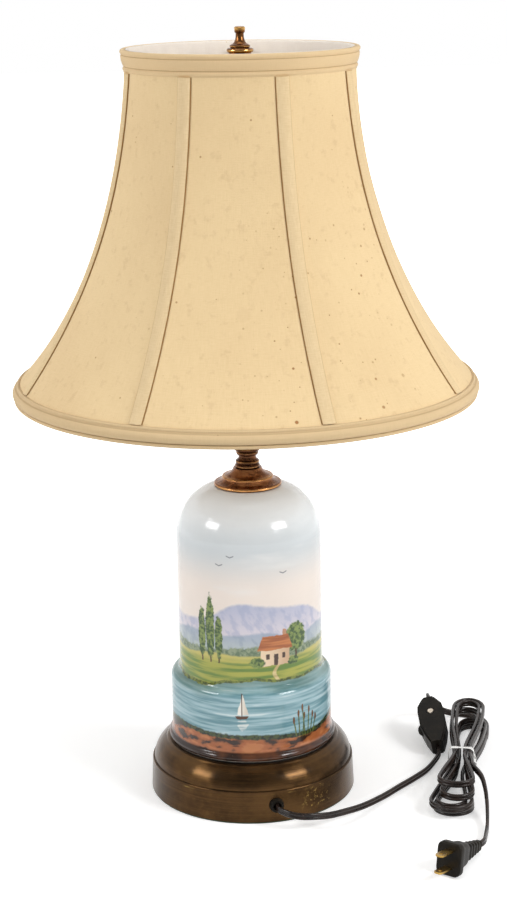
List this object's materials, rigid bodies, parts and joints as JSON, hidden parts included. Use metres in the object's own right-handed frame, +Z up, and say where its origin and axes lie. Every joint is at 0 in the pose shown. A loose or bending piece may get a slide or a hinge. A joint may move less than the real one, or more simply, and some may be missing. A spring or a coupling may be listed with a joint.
{
  "type": "table lamp",
  "caption": "Table lamp: painted porcelain body on a spun brass base, cloth bell shade on a harp, rotary switch on the cord, tied spare cord and plug",
  "frame": {"origin": "centre of the base on the table", "axes": "+Z up along the lamp pipe, -Y towards the viewer of the picture, +X to the viewer's right where the cord lies"},
  "size_m": [0.3804, 0.3669, 0.5989],
  "materials": {
    "base_brass": "dark patina, worn brighter at the edges",
    "felt": "dense felt",
    "black_plastic": "moulded, slightly glossy",
    "steel": "zinc plated",
    "gasket_rubber": "dark rubber",
    "porcelain": "gloss glaze over a painted landscape",
    "cap_brass": "copper-brown patina",
    "finial_brass": "polished, dark in the hollows",
    "harp_brass": "brass plated",
    "socket_brass": "bright brass",
    "plug_brass": "bare brass",
    "insulator": "moulded phenolic",
    "liner_paper": "pressed paper tube",
    "lamp_aluminium": "bare",
    "bulb_glass": "frosted",
    "frame_wire": "white painted wire",
    "shade_cloth": "beige woven cloth with small stains",
    "shade_lining": "white lining",
    "shade_trim": "folded bias tape and piping",
    "cord_cover": "brown-black twin cord, satin",
    "tie_white": "white covered wire"
  },
  "bodies": {
    "lamp": {"base_shell": "base_brass", "felt_pad": "felt", "cord_bushing": "black_plastic", "switch_back": "black_plastic", "switch_front": "black_plastic", "plug_body": "black_plastic", "base_washer": "steel", "lock_washer": "steel", "set_screw": "steel", "switch_screw": "steel", "lamp_pipe": "steel", "foot_gasket": "gasket_rubber", "porcelain_body": "porcelain", "vase_cap": "cap_brass", "neck": "cap_brass", "pipe_nut": "harp_brass", "harp_saddle": "harp_brass", "harp": "harp_brass", "harp_stud": "harp_brass", "socket_cap": "socket_brass", "socket_shell": "socket_brass", "centre_contact": "socket_brass", "terminal_screws": "socket_brass", "switch_contacts": "socket_brass", "plug_blades": "plug_brass", "socket_insulator": "insulator", "socket_liner": "liner_paper", "screw_shell": "lamp_aluminium", "inner_cord": "cord_cover", "cord_run": "cord_cover", "cord_link": "cord_cover", "cord_hank": "cord_cover", "cord_tail": "cord_cover", "cord_tie": "tie_white"},
    "shade": {"shade_frame": "frame_wire", "shade_spider": "harp_brass", "shade_panels": "shade_cloth", "shade_lining": "shade_lining", "seam_tapes": "shade_trim", "collar_trim": "shade_trim", "hem_trim": "shade_trim"},
    "finial": {"finial": "finial_brass"},
    "bulb": {"bulb_cap": "lamp_aluminium", "bulb_glass": "bulb_glass"},
    "sleeve_left": {"sleeve_left": "harp_brass"},
    "sleeve_right": {"sleeve_right": "harp_brass"},
    "switch_wheel": {"switch_wheel": "black_plastic"}
  },
  "joints": [
    {"name": "shade_turn", "type": "hinge", "parent": "lamp", "child": "shade", "pos_m": [0, 0, 0.57661], "axis": [0, 0, 1], "continuous": true},
    {"name": "finial_turn", "type": "hinge", "parent": "lamp", "child": "finial", "pos_m": [0, 0, 0.58], "axis": [0, 0, 1], "continuous": true},
    {"name": "bulb_turn", "type": "hinge", "parent": "lamp", "child": "bulb", "pos_m": [0, 0, 0.33], "axis": [0, 0, 1], "continuous": true},
    {"name": "sleeve_left_lift", "type": "slide", "parent": "lamp", "child": "sleeve_left", "axis": [0, 0, 1], "range_m": [0, 0.014]},
    {"name": "sleeve_right_lift", "type": "slide", "parent": "lamp", "child": "sleeve_right", "axis": [0, 0, 1], "range_m": [0, 0.014]},
    {"name": "wheel_turn", "type": "hinge", "parent": "lamp", "child": "switch_wheel", "pos_m": [0.14691, 0.06427, 0.0152], "axis": [-0.1918, -0.3127, 0.9303], "continuous": true}
  ]
}
